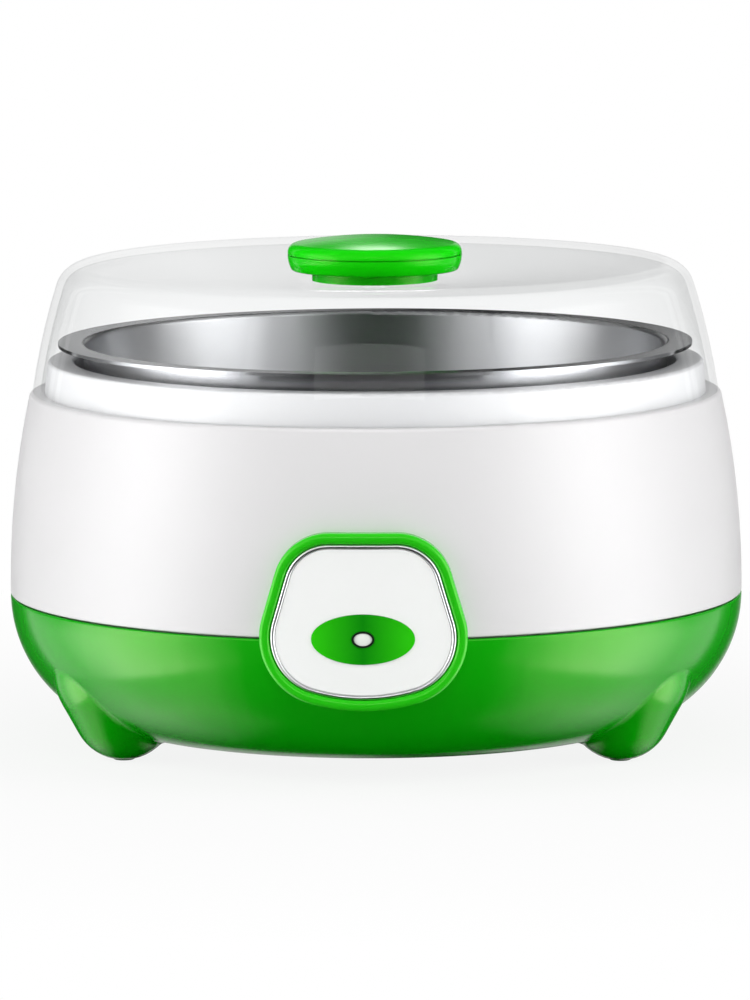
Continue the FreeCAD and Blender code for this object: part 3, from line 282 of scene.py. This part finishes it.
KNOB = moulded("knob_plastic", rgb(16, 203, 6), rgb(12, 197, 5), gloss=0.17,
               shine=(0.8, 1.0, 0.4, 1.0), level=0.2)
BASE = moulded("base_plastic", rgb(3, 166, 4), rgb(2, 160, 3), gloss=0.17, shine=(0.9, 1.0, 0.5, 1.0))
BEAD = moulded("frame_plastic", rgb(34, 194, 16), rgb(28, 188, 12), gloss=0.2, shine=(0.8, 1.0, 0.5, 1.0))
BODY = moulded("body_plastic", rgb(216, 215, 216), rgb(214, 213, 214), gloss=0.36)
LINER = moulded("liner_plastic", rgb(214, 214, 215), rgb(210, 210, 212), gloss=0.3, thin=0.3)
PLATE = moulded("plate_lacquer", rgb(250, 251, 250), rgb(247, 248, 247), gloss=0.15)
# The oval's green carries painted light: darker in the middle, lighter towards both ends.
WINDOW_PAINTED_LIGHT = oval_with_painted_light("window_plastic_painted_light", rgb(3, 134, 4), rgb(44, 208, 8), half=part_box("oval_window")[1].x)
LID = clear_plastic("lid_plastic", shine=0.25)
PIN = clear_plastic("pin_plastic", shine=0.1, body=0.15)
# The pot's outward faces take a much darker steel colour than its inside: painted shade.
STEEL = brushed("pot_steel", colour=(0.64, 0.645, 0.66, 1.0), dark=(0.56, 0.565, 0.58, 1.0),
                outside_painted_darker=(0.36, 0.365, 0.38, 1.0), rough=0.34, polish=0.17)
CHROME = metal("bright_chrome", (0.86, 0.87, 0.88, 1.0), (0.78, 0.79, 0.8, 1.0), rough=0.3)
ALUMINIUM = brushed("turned_aluminium", colour=(0.72, 0.72, 0.74, 1.0), dark=(0.58, 0.58, 0.6, 1.0),
                    outside_painted_darker=(0.66, 0.66, 0.68, 1.0), rough=0.3, polish=0.36, lines=6000.0)
ZINC = metal("zinc_plate", (0.62, 0.62, 0.63, 1.0), (0.46, 0.46, 0.47, 1.0), rough=0.28)
BRASS = metal("pin_plate", (0.78, 0.7, 0.5, 1.0), (0.66, 0.56, 0.36, 1.0), rough=0.16)
DARK = matt("lamp_surround", rgb(12, 32, 14), rgb(6, 22, 8), rough=0.35)
LENS = matt("frosted_lens", rgb(240, 244, 238), rgb(228, 234, 226), rough=0.35, scale=1400.0, depth=0.05)
BLACK = matt("inlet_plastic", rgb(34, 34, 35), rgb(24, 24, 25), rough=0.45, scale=1600.0, depth=0.1)
RUBBER = matt("pad_rubber", rgb(20, 96, 24), rgb(12, 78, 16), rough=0.75)
SILICONE = matt("seal_silicone", rgb(196, 194, 190), rgb(178, 176, 172), rough=0.6)
BOARD = matt("board_mask", rgb(38, 120, 58), rgb(24, 92, 42), rough=0.4)
TAN = matt("resistor_lacquer", rgb(206, 178, 132), rgb(184, 152, 104), rough=0.4)
CERAMIC = matt("heater_ceramic", rgb(104, 100, 98), rgb(78, 74, 72), rough=0.7)
FILM = matt("amber_film", rgb(204, 142, 52), rgb(182, 112, 32), rough=0.3, scale=1200.0, depth=0.05)
SLEEVE = matt("glass_sleeve", rgb(236, 230, 214), rgb(206, 198, 178), rough=0.85, scale=2600.0, depth=0.5)
BROWN = matt("brown_wire", rgb(116, 70, 42), rgb(92, 52, 30), rough=0.4)
BLUE = matt("blue_wire", rgb(44, 92, 170), rgb(30, 70, 142), rough=0.4)
PALE = matt("pale_wire", rgb(228, 226, 222), rgb(206, 204, 198), rough=0.4)

FINISHES = {
    LID: ["lid_dome", "lamp_led"],
    PIN: ["knob_screw", "knob_washer"],
    KNOB: ["knob_cap", "knob_base"],
    STEEL: ["inner_pot"],
    BODY: ["outer_shell"],
    LINER: ["inner_liner"],
    BASE: ["base_shell"],
    BEAD: ["panel_frame"],
    PLATE: ["front_plate"],
    WINDOW_PAINTED_LIGHT: ["oval_window"],
    CHROME: ["chrome_ring"],
    DARK: ["lamp_ring"],
    LENS: ["lamp_lens"],
    BOARD: ["lamp_board"],
    TAN: ["lamp_resistor"],
    ALUMINIUM: ["heating_plate", "ptc_electrodes", "thermal_fuse"],
    SILICONE: ["plate_seal"],
    CERAMIC: ["ptc_chip"],
    FILM: ["ptc_insulation"],
    ZINC: ["heater_bridge", "bridge_screws", "board_screws", "fuse_clip", "clip_screw", "base_screws"],
    SLEEVE: ["fuse_sleeve"],
    BLACK: ["inlet_housing"],
    BRASS: ["inlet_pins"],
    BROWN: ["live_lead", "fuse_lead"],
    BLUE: ["neutral_lead"],
    PALE: ["lamp_leads"],
    RUBBER: ["foot_pads"],
}
for material, names in FINISHES.items():
    for name in names:
        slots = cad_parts[name].data.materials
        slots.clear()
        slots.append(material)


# Stage

AIM = (0, 0, 0.06)
KNOB_AIM = (0, 0, 0.12)
BEAD_AIM = (0, 0, 0.05)
WATTS_FOR_WHITE = 4.0
TENT_HEIGHT = 3.0
TENT_Z = 0.5
SIDE_REACH = 1.4
SIDE_DEPTH = 2.9
SIDE_Y = -0.05
FRONT_REACH = 1.25
BACK_REACH = 1.5
UNDER_Z = -1.0
TOP_Z = 2.0
LAMP_REACH = 1.25
FLAT = (0, 0, 0)
UPRIGHT = (90, 0, 0)
SIDEWAYS = (90, 0, 90)


def softbox(name, size, at, radiance, look=AIM, mirrored=False):
    """A soft box of a given width and height, as bright as a share of white. It lights dull surfaces or,
    where it is mirrored, only shows in shiny ones."""
    width, height = size
    data = bpy.data.lights.new(name, "AREA")
    data.shape = "RECTANGLE"
    data.size = width
    data.size_y = height
    data.energy = radiance * WATTS_FOR_WHITE * width * height
    lamp = bpy.data.objects.new(name, data)
    bpy.context.scene.collection.objects.link(lamp)
    lamp.location = at
    lamp.rotation_euler = (Vector(look) - Vector(at)).to_track_quat("-Z", "Y").to_euler()
    lamp.visible_diffuse = not mirrored
    lamp.visible_glossy = mirrored
    lamp.visible_transmission = False


def light_path(finish, output):
    return finish.node("LightPath", output=output)


def seen(finish):
    """1 for a ray from the camera or through clear plastic that no shiny surface has turned, and else 0."""
    unturned = finish.clamp(1.0 - light_path(finish, "Glossy Depth"))
    through = light_path(finish, "Is Transmission Ray") * unturned
    return finish.larger(light_path(finish, "Is Camera Ray"), through)


def backdrop(fill):
    """White to the camera and in metal and clear plastic, and a dim fill for dull surfaces."""
    world = bpy.data.worlds.new("studio")
    bpy.context.scene.world = world
    finish = Finish("studio", world)
    white = light_path(finish, "Is Camera Ray")
    for ray in ("Is Glossy Ray", "Is Transmission Ray"):
        white = finish.larger(white, light_path(finish, ray))
    shade = finish.node("Background", inputs={
        "Color": PURE_WHITE, "Strength": finish.between(white, low=fill, high=1.0)})
    finish.node("OutputWorld", inputs={"Surface": shade})


def stage_sheet(name, size, at, turn, material):
    """A flat sheet of the set, of a given width and depth, turned by angles in degrees."""
    angles = [math.radians(angle) for angle in turn]
    bpy.ops.object.select_all(action="DESELECT")
    bpy.ops.mesh.primitive_plane_add(size=1.0, location=at, rotation=angles)
    sheet = bpy.context.object
    sheet.name = name
    sheet.scale = (*size, 1.0)
    sheet.data.materials.append(material)
    return sheet


def tent_sheet(name, size, at, turn, glow):
    """A wall of the tent. Shiny surfaces, and dull ones under the clear lid, get its glow, which follows the
    place on it. To the camera it is plain white through the lid, and otherwise hidden."""
    finish = Finish(name)
    spot = finish.axes(finish.node("NewGeometry", output="Position"))
    in_view = seen(finish)
    level = finish.larger(glow(finish, *spot), in_view)
    straight = in_view * finish.clamp(1.0 - light_path(finish, "Diffuse Depth"))
    shade = finish.node("Emission", inputs={
        "Color": PURE_WHITE, "Strength": finish.between(straight, low=level, high=1.0)})
    finish.node("OutputMaterial", inputs={"Surface": shade})
    sheet = stage_sheet(name, size, at, turn, finish.material)
    sheet.visible_camera = False
    sheet.visible_diffuse = False
    sheet.visible_shadow = False


def side_glow(finish, x, y, z):
    """Brightest beside the object, fading to the front, back and top, and set further back low down."""
    levels = (
        (-1.5, 1.2), (-1.25, 2.6), (-0.95, 4.2), (-0.6, 5.0),
        (-0.3, 4.8), (0.1, 2.4), (0.4, 0.5), (0.8, 0.1),
    )
    first = SIDE_Y - SIDE_DEPTH / 2
    peak = max(level for _, level in levels)
    stops = [((at - first) / SIDE_DEPTH, grey(level / peak)) for at, level in levels]
    low = finish.fade(z, start=0.0, width=-1 / 3)
    high = finish.fade(z, start=0.4, width=0.6)
    behind = finish.fade(y, start=0.5, width=0.4)
    set_back = 0.35
    beside = finish.ramp((y - low * set_back - first) / SIDE_DEPTH, stops) * peak
    return beside * finish.between(high, low=1.0, high=0.15) + low * behind * 0.8


def under_glow(finish, x, y, z):
    """Dark under and in front of the object, pale to its sides, and dimmer behind it."""
    half = 0.3
    spread = 0.7
    dark = finish.larger(y * -spread, 0.0) + half
    behind = finish.fade(y, start=0.5, width=0.7)
    return finish.fade(abs(x), start=dark, width=0.4) * finish.between(behind, low=1.4, high=0.3)


def back_glow(finish, x, y, z):
    """Dim, with a paler patch to both sides of the middle."""
    peak = 0.55
    dim = 0.03
    out = abs(x)
    patch = finish.fade(out, start=0.03, width=peak / 8) * finish.fade(out, start=0.5, width=-0.25)
    return patch * finish.fade(z, start=0.6, width=-0.2) * peak + dim


def front_glow(finish, x, y, z):
    """Dark round the camera and low down, and paler to both sides."""
    peak = 2.4
    return finish.fade(abs(x), start=0.35, width=0.85) * finish.fade(z, start=-0.1, width=0.4) * peak


def top_glow(finish, x, y, z):
    """Dim all over."""
    return 0.3


def floor(albedo):
    """White paper that keeps a soft shadow near the object."""
    width = 8.0
    finish = Finish("floor_paper")
    x, y, _ = finish.axes(finish.place())
    far = finish.fade(finish.radius(x, y) * width, start=0.08, width=0.2)
    share = seen(finish) * finish.between(far, low=0.88, high=1.0)
    paper = finish.node("BsdfDiffuse", inputs={"Color": grey(albedo)})
    white = finish.node("Emission", inputs={"Color": PURE_WHITE, "Strength": 1.0})
    mixed = finish.node("MixShader", inputs={0: share, 1: paper, 2: white})
    finish.node("OutputMaterial", inputs={"Surface": mixed})
    sheet = stage_sheet("floor", (width, width), (0, 0, 0), FLAT, finish.material)
    sheet.visible_glossy = False
    sheet.visible_transmission = False


def camera():
    """Nearly straight on and a little above, through a long lens."""
    distance = 1.95
    height = 0.30
    turn = math.radians(2.0)
    roll = math.radians(0.25)
    aim = Vector((-0.0002, 0, 0.0575))
    eye = Vector((distance * math.sin(turn), -distance * math.cos(turn), height))
    data = bpy.data.cameras.new("camera")
    data.lens = 295.5
    data.sensor_width = 36.0
    data.clip_end = 50.0
    view = bpy.data.objects.new("camera", data)
    view.location = eye
    view.rotation_euler = ((aim - eye).to_track_quat("-Z", "Y") @ Quaternion((0, 0, 1), -roll)).to_euler()
    bpy.context.scene.collection.objects.link(view)
    bpy.context.scene.camera = view


bpy.context.scene.view_settings.view_transform = "Standard"
backdrop(fill=0.36)
floor(albedo=0.6)
camera()
tent_sheet("front_sheet", (2.4, TENT_HEIGHT), (0, -FRONT_REACH, 0), UPRIGHT, front_glow)
tent_sheet("back_sheet", (2.6, TENT_HEIGHT), (0, BACK_REACH, TENT_Z), UPRIGHT, back_glow)
for name, x in (("left_sheet", -SIDE_REACH), ("right_sheet", SIDE_REACH)):
    tent_sheet(name, (SIDE_DEPTH, TENT_HEIGHT), (x, SIDE_Y, TENT_Z), SIDEWAYS, side_glow)
tent_sheet("under_sheet", (4.4, 3.2), (0, 0, UNDER_Z), FLAT, under_glow)
tent_sheet("top_sheet", (2.8, 2.9), (0, 0, TOP_Z), FLAT, top_glow)
for name, x in (("left_light", -LAMP_REACH), ("right_light", LAMP_REACH)):
    softbox(name, size=(0.9, 1.2), at=(x, -0.4, 0.6), radiance=3.7)
softbox("front_light", size=(1.2, 0.8), at=(0, -1.3, 1.1), radiance=1.3)
softbox("top_light", size=(0.8, 0.8), at=(0, 0.1, 1.4), radiance=0.4)
softbox("crown_light", size=(0.12, 0.34), at=(-0.05, 1.45, 0.86), radiance=5.0,
        look=KNOB_AIM, mirrored=True)
softbox("bead_light", size=(0.8, 0.2), at=(0, -1.2, 0.5), radiance=3.5,
        look=BEAD_AIM, mirrored=True)
